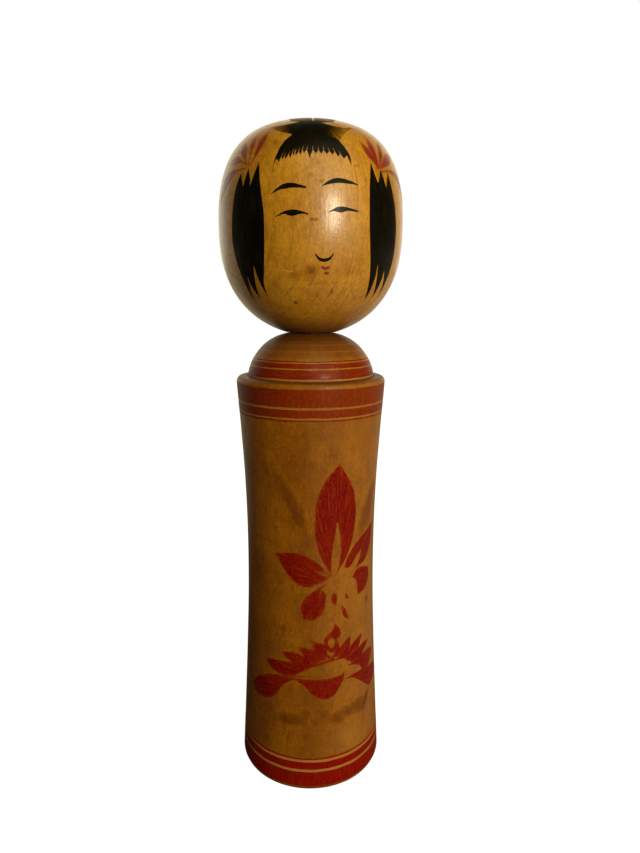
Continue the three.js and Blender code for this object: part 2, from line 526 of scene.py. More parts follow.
def wood_group(name, bright, pale, deep, ring, pith, ring_width, ring_depth, drift_size, turned):
    """The wood's own colour, gloss and relief in the piece's coordinates, shared by bare wood and dye."""
    tree = bpy.data.node_groups.new(name, "ShaderNodeTree")
    for title, kind in (("Color", "Color"), ("Shine", "Float"), ("Relief", "Float"), ("Grit", "Float")):
        tree.interface.new_socket(title, in_out="OUTPUT", socket_type="NodeSocket" + kind)
    place = node(tree, "ShaderNodeTexCoord").outputs["Object"]
    in_mm = node(tree, "ShaderNodeVectorMath", {0: place, "Scale": 1 / MM}, operation="SCALE").outputs[0]

    # Growth rings lie round a far upright pith, bent by a slow noise, and come and go along the grain.
    drift = noise(tree, in_mm, (22, 22, 40), 2.0, 0.4)
    parts = node(tree, "ShaderNodeSeparateXYZ", {0: in_mm}).outputs
    x = maths(tree, "SUBTRACT", parts[0], pith[0])
    y = maths(tree, "SUBTRACT", parts[1], pith[1])
    reach = maths(tree, "SQRT", maths(tree, "MULTIPLY_ADD", x, x, maths(tree, "MULTIPLY", y, y)))
    bent = maths(tree, "MULTIPLY_ADD", drift, drift_size, reach)
    late = 0.0
    for share, depth in ((1.0, 1.0), (0.37, 0.5)):
        year = maths(tree, "FRACT", maths(tree, "DIVIDE", bent, ring_width * share))
        edge = maths(tree, "MULTIPLY", between(tree, year, 0.72, 0.97), between(tree, year, 1.0, 0.97))
        late = maths(tree, "MULTIPLY_ADD", edge, depth, late)
    patches = noise(tree, in_mm, (7, 7, 11), 3.0, 0.6)
    late = maths(tree, "MULTIPLY", late, between(tree, patches, 0.42, 0.62, 0.1, ring_depth))

    tone = noise(tree, in_mm, (12, 12, 22), 5.0, 0.65)
    mottle = noise(tree, in_mm, (2.6, 2.6, 4.5), 4.0, 0.7)
    fibre = noise(tree, in_mm, (0.5, 0.5, 9), 3.0, 0.6)
    hair = noise(tree, in_mm, (0.22, 0.22, 2.6), 2.0, 0.5)
    flecks = noise(tree, in_mm, (1.1, 1.1, 1.5), 2.0, 0.5)
    grit = noise(tree, in_mm, (0.6, 0.6, 0.85), 1.0, 0.5)
    turning = noise(tree, in_mm, (70, 70, 0.42), 2.0, 0.6)

    colour = mixed(tree, between(tree, tone, 0.32, 0.68), pale, deep)
    colour = mixed(tree, between(tree, mottle, 0.45, 0.72, 0.0, 0.55), colour, ring)
    colour = mixed(tree, late, colour, ring)
    for layer, low, high, share, tint in (
        (fibre, 0.45, 0.75, 0.26, ring), (hair, 0.5, 0.8, 0.16, ring), (flecks, 0.67, 0.76, 0.6, ring),
        (grit, 0.42, 0.75, 0.26, ring), (grit, 0.42, 0.24, 0.45, bright), (turning, 0.52, 0.72, turned, ring),
    ):
        colour = mixed(tree, between(tree, layer, low, high, 0.0, share), colour, tint)
    shine = maths(tree, "ADD", maths(tree, "MULTIPLY", fibre, 0.10), maths(tree, "MULTIPLY", tone, 0.12))
    relief = maths(tree, "ADD", maths(tree, "MULTIPLY", fibre, 0.6), maths(tree, "MULTIPLY", hair, 0.5))
    relief = maths(tree, "MULTIPLY_ADD", turning, turned, relief)
    relief = maths(tree, "MULTIPLY_ADD", grit, 0.55, relief)
    node(tree, "NodeGroupOutput", {"Color": colour, "Shine": shine, "Relief": relief, "Grit": grit})
    return tree


def painted_number(tree, name):
    return node(tree, "ShaderNodeAttribute", attribute_name=name).outputs["Fac"]


def new_material(name):
    material = bpy.data.materials.new(name)
    material.use_nodes = True
    material.node_tree.nodes.clear()
    return material, material.node_tree


def finish_surface(tree, colour, roughness, relief, coat, specular):
    """One Principled surface with a fine relief and a coat of wax, which half fills it."""
    bump, coat_bump = (
        node(tree, "ShaderNodeBump", {"Height": relief, "Strength": 1.0, "Distance": height * MM}).outputs[0]
        for height in (RELIEF_DEPTH, RELIEF_DEPTH / 2)
    )
    surface = node(
        tree, "ShaderNodeBsdfPrincipled",
        {
            "Base Color": colour, "Roughness": roughness, "Normal": bump, "Coat Normal": coat_bump,
            "Specular IOR Level": specular, "Coat Weight": coat, "Coat Roughness": WAX_ROUGHNESS,
        },
    )
    node(tree, "ShaderNodeOutputMaterial", {"Surface": surface.outputs[0]})


def wood_material(name, grain_tree, gloss, coat, specular):
    """Bare waxed wood. One attribute darkens and dulls it: painted shade under the chin, on the dome under
    the head and on the ledge, and a stripe down the body's front. The pale attribute lightens it where
    fresher wood shows, and paints light on the trunk's right side."""
    material, tree = new_material(name)
    grain = node(tree, "ShaderNodeGroup", node_tree=grain_tree).outputs
    # The first colour is painted shade; the second is fresher wood, and painted light on the trunk's right
    # side.
    shade_colour, fresh_and_lit_colour = rgb(0.12, 0.032, 0.002), rgb(0.66, 0.30, 0.08)
    painted_shade = painted_number(tree, "painted_shade")
    colour = mixed(tree, painted_shade, grain["Color"], shade_colour)
    colour = mixed(tree, painted_number(tree, "pale"), colour, fresh_and_lit_colour)
    roughness = maths(tree, "ADD", maths(tree, "MULTIPLY_ADD", painted_shade, 0.3, grain["Shine"]), gloss)
    finish_surface(tree, colour, roughness, grain["Relief"], coat, specular)
    return material


def dye_material(name, grain_tree, dye, weak_dye, dry, gloss, coat, specular):
    """Transparent dye over the grain, thinner in brush streaks and on the grit's high spots, and darker in
    its pores. Its strength attribute fades it into bare wood, evenly where dry is 0 and in the streaks of a
    dry brush where dry is 1."""
    material, tree = new_material(name)
    grain = node(tree, "ShaderNodeGroup", node_tree=grain_tree).outputs
    brush = node(tree, "ShaderNodeAttribute", attribute_name="brush").outputs["Vector"]
    hairs = noise(tree, brush, (0.45, 9.0, 1.0), 3.0, 0.6)
    blots = between(tree, noise(tree, brush, (3.5, 7.0, 1.0), 2.0, 0.5), 0.3, 0.7, 0.35, 1.0)
    high_spots = between(tree, grain["Grit"], 0.44, 0.26, 0.0, 0.6)
    pores = between(tree, grain["Grit"], 0.52, 0.76, 0.0, 0.35)
    thin = maths(tree, "MULTIPLY", between(tree, hairs, 0.45, 0.66), blots)
    colour = mixed(tree, maths(tree, "MAXIMUM", thin, high_spots), dye, weak_dye)
    colour = mixed(tree, pores, colour, rgb(0, 0, 0))
    strength = painted_number(tree, "strength")
    bare = maths(tree, "SUBTRACT", 1.0, strength)
    paint = between(tree, hairs, 0.3, 0.7, 0.0, 1.0, smooth=False)
    streaks = between(tree, maths(tree, "SUBTRACT", paint, bare), -0.15, 0.15)
    even_part = maths(tree, "MULTIPLY", strength, 1.0 - dry)
    amount = maths(tree, "MULTIPLY_ADD", streaks, dry, even_part)
    full = maths(tree, "GREATER_THAN", strength, 0.98)
    amount = maths(tree, "MAXIMUM", amount, full)
    colour = mixed(tree, amount, grain["Color"], colour)
    roughness = maths(tree, "ADD", grain["Shine"], gloss)
    finish_surface(tree, colour, roughness, grain["Relief"], coat, specular)
    return material


# ---------------------------------------------------------------- the doll

HEAD_GRAIN = wood_group(
    "head_grain", bright=rgb(0.90, 0.43, 0.025), pale=rgb(0.78, 0.350, 0.018),
    deep=rgb(0.62, 0.250, 0.007), ring=rgb(0.30, 0.088, 0.003),
    pith=(119.0, 107.0), ring_width=2.9, ring_depth=0.5, drift_size=4.0, turned=0.12,
)
BODY_GRAIN = wood_group(
    "body_grain", bright=rgb(0.62, 0.225, 0.008), pale=rgb(0.45, 0.152, 0.004),
    deep=rgb(0.31, 0.090, 0.002), ring=rgb(0.17, 0.043, 0.001),
    pith=(60.0, 170.0), ring_width=3.3, ring_depth=0.12, drift_size=3.0, turned=0.25,
)
HEAD_WOOD = wood_material("head_wood", HEAD_GRAIN, gloss=0.30, coat=0.7, specular=0.6)
BODY_WOOD = wood_material("body_wood", BODY_GRAIN, gloss=0.33, coat=0.18, specular=0.18)
HEAD_INK = dye_material(
    "ink_on_head", HEAD_GRAIN, rgb(0.0020, 0.0014, 0.0004), rgb(0.016, 0.011, 0.002),
    dry=0.4, gloss=0.40, coat=0.14, specular=0.08,
)
HEAD_RED = dye_material(
    "red_on_head", HEAD_GRAIN, rgb(0.29, 0.012, 0.009), rgb(0.42, 0.06, 0.025),
    dry=0.35, gloss=0.34, coat=0.6, specular=0.4,
)
HEAD_STAIN = dye_material(
    "stain_on_head", HEAD_GRAIN, rgb(0.12, 0.014, 0.002), rgb(0.15, 0.030, 0.004),
    dry=0.0, gloss=0.42, coat=0.5, specular=0.3,
)
HEAD_SCRATCH = dye_material(
    "scratch_on_head", HEAD_GRAIN, rgb(0.78, 0.46, 0.14), rgb(0.7, 0.38, 0.08),
    dry=0.0, gloss=0.5, coat=0.2, specular=0.5,
)
BODY_RED = dye_material(
    "red_on_body", BODY_GRAIN, rgb(0.21, 0.001, 0.0003), rgb(0.38, 0.040, 0.002),
    dry=0.9, gloss=0.38, coat=0.08, specular=0.08,
)
BAND_RED = dye_material(
    "band_red_on_body", BODY_GRAIN, rgb(0.24, 0.013, 0.0003), rgb(0.31, 0.045, 0.001),
    dry=0.0, gloss=0.34, coat=0.12, specular=0.1,
)
BASE_RED = dye_material(
    "base_red_on_body", BODY_GRAIN, rgb(0.29, 0.003, 0.0005), rgb(0.36, 0.022, 0.001),
    dry=0.0, gloss=0.38, coat=0.08, specular=0.08,
)
SMUDGE = dye_material(
    "smudge_on_body", BODY_GRAIN, rgb(0.14, 0.034, 0.001), rgb(0.18, 0.048, 0.002),
    dry=0.3, gloss=0.33, coat=0.18, specular=0.18,
)

TENON_LINE, HEAD_LINE = head_lines()
TRUNK_LINE, DOME_LINE = trunk_line(), dome_line()
HEAD_SKIN, TRUNK_SKIN, DOME_SKIN = Skin(HEAD_LINE), Skin(TRUNK_LINE), Skin(DOME_LINE)
LINES_BETWEEN_BANDS = (  # z, how pale
    (7.75, 0.75), (11.75, 0.75), (143.0, 0.35), (146.5, 0.35), (159.4, 0.3), (161.5, 0.3),
)
FACE = Wall(HEAD_SKIN, radius=31.5)
TRUNK = Wall(TRUNK_SKIN, radius=25)
CROWN = Crown(HEAD_SKIN)
PLAN = Plan(HEAD_SKIN)


def azimuth_and_height(piece):
    """Two arrays, in degrees and millimetres, for a piece's vertices."""
    at = np.zeros(len(piece.data.vertices) * 3)
    piece.data.vertices.foreach_get("co", at)
    x, y, z = at.reshape(-1, 3).T / MM
    return np.degrees(np.arctan2(x, -y)), z


def soft_peak(values, centre, spread):
    """1 at the centre, falling away over a spread on both sides."""
    return np.exp(-(((values - centre) / spread) ** 2))


def make_head():
    head = turned_solid("head_turned", joined(TENON_LINE, HEAD_LINE), "head", HEAD_WOOD)
    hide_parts("head")
    _, z = azimuth_and_height(head)
    # Painted shade under the chin, darker towards the neck.
    give_number(head, "painted_shade", 0.75 * np.clip((182 - z) / 10, 0, 1) ** 1.5)
    give_number(head, "pale", np.zeros(len(z)))


def make_body():
    body = turned_solid("body_turned", body_profile(TRUNK_LINE, DOME_LINE), "body", BODY_WOOD)
    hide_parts("body")
    azimuth, z = azimuth_and_height(body)
    # Painted shade on the dome under the head and on the ledge and shoulder top under the dome's foot, and a
    # stripe darker and duller down the front.
    shade_under_head = 0.8 * np.clip((z - 161) / 8, 0, 1)
    front_stripe = 0.3 * soft_peak(azimuth, 2, 17)
    ledge = 0.85 * np.clip((z - LEDGE_Z + 0.9) / 0.8, 0, 1) * (z < LEDGE_Z + 0.01)
    give_number(body, "painted_shade", np.max([shade_under_head, front_stripe, ledge], axis=0))
    # Fresher wood shows at the dome's foot, between the dyed bands and in the lathe's lines on the dome. The
    # trunk's right side is paler as painted light, most of all low down.
    dome_foot = 0.8 * ((z > LEDGE_Z + 0.1) & (z < DOME_FOOT_Z + 0.1))
    lines = [depth * soft_peak(z, line_z, 0.8) for line_z, depth in LINES_BETWEEN_BANDS]
    lathe_lines = 0.16 * np.clip(np.sin(4.1 * z) * np.sin(1.7 * z + 0.4), 0, 1) * (z > 162.5) * (z < 170)
    painted_light = 0.15 * soft_peak(azimuth, 48, 26) * (z < LEDGE_Z - 1)
    painted_light_low = 0.25 * soft_peak(azimuth, 38, 24) * np.clip((34 - z) / 14, 0, 1) * (z > 13)
    give_number(body, "pale", np.max([dome_foot, *lines, lathe_lines, painted_light, painted_light_low], axis=0))


def leaning(x, y, lean):
    """The plane's points turned clockwise by an angle in degrees."""
    c, s = math.cos(math.radians(lean)), math.sin(math.radians(lean))
    return x * c + y * s, y * c - x * s


def soft_blots(chart, blots, fall):
    """(outlines, strength) of ellipses, given as (azimuth, z, half width, half height, lean of the top to the
    right, depth). Their paint fades from its full depth in the middle to nothing at the rim."""
    centres = [chart.flat([blot[:2]])[0] for blot in blots]
    turn = np.linspace(0, 2 * math.pi, 25)[:-1]
    loops = []
    for centre, (_, _, half_width, half_height, lean, _) in zip(centres, blots):
        x, y = leaning(half_width * np.cos(turn), half_height * np.sin(turn), lean)
        loops.append(centre + np.column_stack([x, y]))

    def strength(flat):
        paint = np.zeros(len(flat))
        for centre, (_, _, half_width, half_height, lean, depth) in zip(centres, blots):
            x, y = leaning(*(flat - centre).T, -lean)
            gone = (x / half_width) ** 2 + (y / half_height) ** 2
            paint = np.maximum(paint, depth * (1 - np.clip(gone, 0, 1)) ** fall)
        return paint

    return loops, strength


def make_spots():
    """The small soft stains on the head, and one fresh scratch."""
    spots = [
        (1.4, 206.9, 0.9, 0.65, 0, 0.8), (3.7, 206.9, 0.8, 0.6, 0, 0.65), (-10.6, 181.8, 0.9, 0.7, 0, 1.0),
        (14.8, 185.4, 0.7, 1.1, 0, 0.8), (13.4, 184.1, 0.6, 0.6, 0, 0.6), (-3.1, 178.1, 1.9, 1.2, 0, 0.35),
        (19.2, 178.7, 1.7, 1.1, 0, 0.3), (1.5, 191.9, 1.9, 1.8, 0, 0.75), (1.8, 191.7, 3.0, 2.8, 0, 0.3),
        (-9.2, 190.1, 2.8, 2.2, 0, 0.28), (-22.2, 230.8, 1.1, 1.0, 0, 0.5), (0.6, 220.0, 1.0, 0.8, 0, 0.35),
        (7.0, 218.3, 0.9, 0.7, 0, 0.4), (5.1, 223.8, 0.8, 0.7, 0, 0.3), (-13.7, 218.9, 1.2, 0.8, 0, 0.2),
        (27.3, 223.5, 0.7, 0.7, 0, 0.5), (29.3, 223.9, 0.7, 0.8, 0, 0.5), (-22.6, 211.8, 2.2, 1.6, 0, 0.25),
        (-14.1, 212.7, 1.5, 1.2, 0, 0.25), (-20.6, 221.8, 1.1, 1.0, 0, 0.4),
    ]
    loops, strength = soft_blots(FACE, spots, fall=1.0)
    film(
        "spots", FACE, loops, "head", HEAD_STAIN,
        strength=strength, lift=STAIN_TOP, spacing=SPOT_GRID,
    )
    scratch = stroke(FACE, [(-16.9, 192.0, 0.1), (-13.5, 191.6, 0.3), (-9.6, 191.3, 0.1)])
    film("scratch", FACE, [scratch], "head", HEAD_SCRATCH)


def make_smudges():
    """Faded leaves and smears on the body, in the streaks of a nearly dry brush."""
    smudges = [
        (-14.8, 113.2, 3.4, 14.0, -30, 0.74), (-11.0, 108.5, 2.6, 8.0, -24, 0.86),
        (58.0, 107.3, 3.6, 12.0, 27, 0.6), (-14.7, 28.3, 7.5, 3.4, 0, 0.72), (-18.0, 27.6, 4.5, 2.2, 0, 0.85),
        (-36.9, 30.7, 3.4, 3.0, 0, 0.4), (-3.5, 31.0, 2.8, 3.4, 0, 0.6), (5.0, 27.6, 2.6, 2.6, 0, 0.6),
        (12.4, 29.6, 2.6, 3.6, 0, 0.55), (23.0, 28.2, 3.4, 3.6, 0, 0.68), (33.5, 29.6, 3.4, 2.8, 0, 0.66),
        (44.7, 29.6, 4.4, 3.4, 15, 0.66), (53.9, 29.6, 1.6, 4.8, 30, 0.9), (-22.9, 64.3, 2.2, 2.0, 0, 0.66),
        (59.6, 71.0, 1.5, 1.8, 0, 0.7),
    ]
    loops, strength = soft_blots(TRUNK, smudges, fall=0.8)
    film("smudges", TRUNK, loops, "body", SMUDGE, strength=strength, lift=STAIN_TOP)


THIN_DYE_SIDE = 70  # azimuth where the bands' dye is thinnest


def make_bands():
    for name, skin, low, high, thinning, material in (
        ("band_dome_low", DOME_SKIN, 156.05, 159.2, 0.05, BAND_RED),
        ("band_dome_high", DOME_SKIN, 159.7, 161.3, 0.05, BAND_RED),
        ("band_dome_line", DOME_SKIN, 161.75, 162.15, 0.05, BAND_RED),
        ("band_shoulder_wide", TRUNK_SKIN, 147.05, 153.2, 0.16, BAND_RED),
        ("band_shoulder_low", TRUNK_SKIN, 143.4, 146.25, 0.16, BAND_RED),
        ("band_shoulder_line", TRUNK_SKIN, 142.05, 142.75, 0.25, BAND_RED),
        ("band_base_line", TRUNK_SKIN, 12.3, 13.0, 0.1, BASE_RED),
        ("band_base_high", TRUNK_SKIN, 8.3, 11.2, 0.0, BASE_RED),
        ("band_base_low", TRUNK_SKIN, 1.35, 7.2, 0.0, BASE_RED),
    ):
        band(name, skin, low, high, thinning, material, seed=round(low * 100))


def make_face():
    brows = [
        stroke(FACE, [(-21.5, 214.7, 0.15), (-17.1, 216.15, 0.85), (-13.7, 216.8, 1.5), (-10.3, 217.0, 1.5),
                      (-7.0, 216.85, 1.15), (-1.5, 216.3, 0.5)]),
        stroke(FACE, [(6.8, 216.7, 0.15), (9.6, 217.6, 0.75), (12.3, 218.2, 1.3), (15.5, 218.6, 1.5),
                      (18.6, 218.6, 1.4), (21.5, 218.4, 1.1), (24.5, 218.15, 0.7), (27.9, 217.7, 0.3)]),
    ]
    eyes = [
        outline(
            FACE,
            [(-14.8, 209.15), (-11.8, 209.7), (-8.5, 209.85), (-6.0, 209.6), (-0.4, 208.7)],
            [(-0.6, 208.15)],
            [(-3.1, 208.6), (-5.3, 208.45), (-9.2, 208.0), (-12.0, 208.3), (-13.4, 208.65), (-15.9, 208.3),
             (-19.4, 207.7)],
        ),
        outline(
            FACE,
            [(12.4, 209.85), (15.3, 210.75), (18.4, 210.95), (21.5, 210.75), (27.9, 210.05)],
            [(27.8, 209.6)],
            [(23.5, 209.75), (21.1, 209.75), (19.2, 209.4), (16.9, 209.2), (14.6, 209.4), (12.4, 209.35),
             (9.2, 208.9)],
        ),
    ]
    nose = stroke(FACE, [(3.4, 196.8, 0.3), (4.4, 195.9, 0.55), (6.3, 195.1, 0.9), (8.6, 194.85, 1.05),
                         (11.0, 195.2, 0.9), (12.7, 196.0, 0.55), (13.8, 196.9, 0.3)])
    upper_lip = outline(
        FACE,
        [(8.0, 193.1), (9.4, 192.75), (10.8, 193.1), (12.1, 193.0)],
        [(11.6, 192.3), (9.5, 191.9), (7.2, 192.3), (6.7, 193.0)],
    )
    turn = np.linspace(0, 2 * math.pi, 17)[1:]
    lower_lip = outline(FACE, np.column_stack([10.4 + 1.45 * np.cos(turn), 191.0 + 0.48 * np.sin(turn)]))
    names = ("brow_left", "brow_right", "eye_left", "eye_right", "nose")
    for name, loop in zip(names, [*brows, *eyes, nose]):
        film(name, FACE, [loop], "head", HEAD_INK)
    film("lips", FACE, [upper_lip, lower_lip], "head", HEAD_RED)


def make_locks():
    left = outline(
        FACE,
        [(-31.1, 187.5), (-28.9, 191.3), (-27.1, 195.9), (-25.9, 202.5), (-26.0, 209.7), (-28.0, 216.5),
         (-30.8, 224.8)],
        [(-32.5, 222.3), (-35.6, 217.5)],
        [(-36.1, 220.0), (-38.2, 223.3)],
        [(-39.5, 220.9), (-41.1, 217.8)],
        [(-42.4, 219.8), (-44.2, 222.2)],
        [(-46.7, 219.2), (-50.0, 211.8), (-51.4, 204.6), (-51.0, 198.5), (-48.9, 190.5), (-46.8, 182.6)],
        [(-44.8, 186.6), (-43.2, 190.7)],
        [(-41.9, 186.5), (-39.1, 183.4)],
        [(-38.2, 187.2), (-35.5, 193.9)],
        [(-33.8, 188.2), (-31.3, 183.8)],
    )
    right = outline(
        FACE,
        [(43.2, 185.7), (40.6, 190.9), (37.6, 197.8), (35.8, 205.0), (35.5, 213.3), (36.4, 219.5),
         (38.9, 225.5)],
        [(41.0, 221.4), (43.0, 219.1)],
        [(44.7, 221.4), (46.6, 223.9)],
        [(48.0, 221.4), (50.2, 218.2)],
        [(51.7, 220.7), (54.0, 223.2)],
        [(57.2, 217.0), (60.8, 209.2), (61.6, 201.3), (61.6, 193.4), (60.9, 188.3), (60.7, 183.8)],
        [(57.9, 188.3), (53.5, 192.8)],
        [(54.0, 188.5), (52.8, 183.5)],
        [(49.2, 188.3), (45.3, 194.7)],
        [(46.2, 189.0), (45.3, 182.7)],
    )
    film("lock_left", FACE, [left], "head", HEAD_INK)
    film("lock_right", FACE, [right], "head", HEAD_INK)


HUB = np.array((1.2, -24.0))  # where the forelock is tied, seen from above
NOTCH_DEPTH = 1.2  # how far back the notch between two tips of hair goes
GAP_LENGTH = 1.8  # length of the thin gap that runs on from a notch


def spreading(centre, side, width):
    """A brush whose hairs spread from a centre, mostly to the sheet's +y or -y side as side is 1 or -1. The
    width is how much of the brush's pattern one radian of them takes."""

    def brush(flat):
        x, y = (flat - centre).T
        return np.column_stack([np.arctan2(x, side * y) * width, np.hypot(x, y)])

    return brush


def make_forelock():
    tips = [
        (-17.5, 39.3), (-15.6, 38.6), (-13.7, 38.5), (-10.9, 38.2), (-9.3, 37.5), (-7.8, 37.5), (-5.1, 37.3),
        (-3.2, 36.7), (0.1, 38.3), (3.9, 36.8), (6.8, 36.9), (10.2, 37.0), (13.5, 37.1), (16.8, 37.6),
        (20.3, 38.1),
    ]
    left_end, right_end = (-21.4, 41.4), (24.8, 40.3)
    notches = []
    for before, after in zip([left_end, *tips], [*tips, right_end]):
        notches.append(((before[0] + after[0]) / 2, min(before[1], after[1]) - NOTCH_DEPTH))
    comb = [notches[0]]
    for tip, notch in zip(tips, notches[1:]):
        comb += [tip, notch]
    comb.append(right_end)
    mass = outline(
        CROWN,
        [(-5.6, 26.5), (-10.9, 29.4), (-15.9, 32.2), (-19.6, 36.6), left_end],
        *straight(comb),
        [(24.4, 37.0), (20.9, 33.3), (15.5, 29.5), (9.5, 26.0), (2.9, 23.0)],
    )
    left_point = outline(
        CROWN,
        [(-15.2, 28.9), (-22.9, 27.5), (-31.7, 24.7)],
        [(-21.5, 24.4), (-13.0, 23.4), (2.9, 21.6)],
        [(2.9, 26.0), (-10.5, 30.0)],
    )
    right_point = outline(
        CROWN,
        [(10.0, 23.4), (17.3, 24.8), (25.5, 25.3), (36.4, 24.4)],
        [(29.5, 26.4), (24.8, 28.4), (19.4, 31.8)],
        [(13.0, 29.8), (2.9, 26.0)],
        [(2.9, 21.6)],
    )
    left_tuft = outline(
        PLAN,
        [(-2.6, -22.6), (-6.3, -20.4)],
        [(-7.0, -15.0), (-7.6, -8.4)],
        *straight([(-5.9, -12.4), (-4.6, -7.2), (-3.1, -11.8), (-1.6, -6.4), (-0.5, -11.0), (0.4, -7.6)]),
        [(0.5, -16.0), (0.9, -23.6)],
    )
    right_tuft = outline(
        PLAN,
        [(1.4, -16.0), (1.5, -7.4)],
        *straight([(2.8, -11.4), (4.0, -6.6), (5.2, -11.8), (6.6, -7.4), (7.6, -12.0), (8.8, -9.0)]),
        [(8.3, -15.0), (7.6, -20.6)],
        [(4.0, -22.6), (1.1, -23.6)],
    )
    # Thin gaps between the hairs run up from the notches.
    gaps = []
    for azimuth, reach in notches[1:-1]:
        low = CROWN.flat([(azimuth, reach + 0.15)])[0]
        high = HUB + (low - HUB) * (1 - GAP_LENGTH / np.hypot(*(low - HUB)))
        gaps.append(stroke(PLAN, [(*low, 0.3), (*(low + high) / 2, 0.15), (*high, 0.03)]))

    def painted_light(flat):
        """The points of the star and the tuft behind it are a thin wash, which also paints the grey sheen
        they catch where the head's top turns away.
        """
        x, y = (flat - HUB).T
        past = np.hypot(x, y)
        left = 0.75 * np.clip((past - 8.5) / 6.0, 0, 1)
        right = 0.5 * np.clip((past - 5.5) / 5.0, 0, 1)
        behind = 0.5 * np.clip((y - 2.2) / 2.5, 0, 1)
        return 1 - np.maximum(np.where(x < 0, left, right), behind)

    brush = spreading(HUB, side=-1, width=12)
    film("forelock", CROWN, [mass], "head", HEAD_INK, gaps=gaps, brush=brush)
    star = [left_point, right_point, left_tuft, right_tuft]
    film("forelock_star", CROWN, star, "head", HEAD_INK, brush=brush, strength=painted_light)


STREAKS_APART = 9  # keeps one stroke's streaks unlike the next one's


def fading_strokes(chart, strokes):
    """(outlines, brush, strength) of strokes that start full and dry out towards their ends."""
    lines = [curve(np.column_stack([chart.flat(np.array(s)[:, :2]), np.array(s)[:, 2]])) for s in strokes]

    def measure(flat):
        across, along, share = np.zeros(len(flat)), np.zeros(len(flat)), np.zeros(len(flat))
        nearest = np.full(len(flat), np.inf)
        for number, line in enumerate(lines):
            apart = distances(flat, line[:, :2])
            at = apart.argmin(axis=1)
            distance = apart.min(axis=1) / np.maximum(line[at, 2], 0.3)
            better = distance < nearest
            nearest = np.where(better, distance, nearest)
            offset = flat - line[at, :2]
            direction = np.gradient(line[:, :2], axis=0)[at]
            side = np.sign(direction[:, 0] * offset[:, 1] - direction[:, 1] * offset[:, 0])
            across = np.where(better, side * apart.min(axis=1) + STREAKS_APART * number, across)
            along = np.where(better, at * CURVE_STEP, along)
            share = np.where(better, at / (len(line) - 1), share)
        return across, along, share, nearest

    def brush(flat):
        across, along, _, _ = measure(flat)
        return np.column_stack([across, along])

    def strength(flat):
        _, _, share, nearest = measure(flat)
        edge = np.clip((0.5 - nearest) / 0.22, 0, 1)
        return (0.62 + 0.38 * edge) * (1 - 0.5 * np.clip((share - 0.6) / 0.4, 0, 1) ** 1.3)

    return [stroke(chart, s) for s in strokes], brush, strength


def make_ribbons():
    """The red ribbon strokes that spread from the top of each lock."""
    left = [
        [(-38.0, 39.3, 0.5), (-35.0, 37.0, 1.0), (-33.4, 33.5, 2.6), (-31.9, 30.0, 2.5), (-30.9, 26.6, 0.3)],
        [(-38.6, 39.2, 0.5), (-38.9, 35.6, 1.0), (-40.4, 31.6, 2.3), (-42.0, 27.6, 0.3)],
        [(-39.9, 39.1, 0.5), (-43.0, 36.6, 1.0), (-47.5, 33.3, 3.2), (-52.0, 29.8, 0.8)],
        [(-40.6, 38.8, 0.5), (-46.5, 37.2, 0.9), (-53.5, 36.3, 3.2), (-61.0, 36.3, 0.8)],
        [(-40.6, 40.0, 0.5), (-48.5, 40.2, 1.2), (-56.5, 41.4, 3.8), (-63.0, 43.6, 4.2), (-69.5, 49.0, 0.5)],
    ]
    right = [
        [(45.0, 39.9, 0.7), (42.6, 37.2, 2.4), (38.8, 34.4, 3.2), (34.0, 30.6, 0.4)],
        [(45.3, 39.6, 0.6), (44.6, 35.8, 2.2), (43.6, 32.3, 3.2), (43.4, 27.6, 0.4)],
        [(46.2, 39.4, 0.6), (49.6, 36.0, 1.8), (53.0, 32.6, 2.6), (57.0, 28.6, 0.4)],
        [(47.0, 39.5, 0.6), (53.1, 37.2, 2.4), (59.6, 35.0, 3.8), (69.5, 32.4, 0.5)],
        [(47.0, 40.6, 0.6), (57.0, 39.5, 1.1), (66.7, 40.1, 2.6), (74.0, 42.6, 3.2), (79.0, 47.5, 0.6)],
    ]
    for name, strokes in (("ribbons_left", left), ("ribbons_right", right)):
        loops, brush, strength = fading_strokes(CROWN, strokes)
        film(name, CROWN, loops, "head", HEAD_RED, brush=brush, strength=strength)


def thin_at_root(centre, reach, loops):
    """Paint that is full, a little thin along its outline, and dry within a reach of the centre."""
    rim = np.vstack(loops)

    def strength(flat):
        past = np.hypot(*(flat - centre).T)
        parts = np.array_split(flat, max(1, len(flat) // 400))
        inside = np.concatenate([distances(part, rim).min(axis=1) for part in parts])
        return np.clip(0.66 + 0.9 * inside, 0, 1) * (0.78 + 0.22 * np.clip(past / reach, 0, 1))

    return strength


def flower(name, petals, gaps, root, dry_reach):
    """A flower on the trunk, brushed outwards from its root, where the petals meet."""
    centre = TRUNK.flat([root])[0]
    film(
        name, TRUNK, petals, "body", BODY_RED, gaps=gaps,
        brush=spreading(centre, side=1, width=26),
        strength=thin_at_root(centre, dry_reach, [*petals, *gaps]),
    )


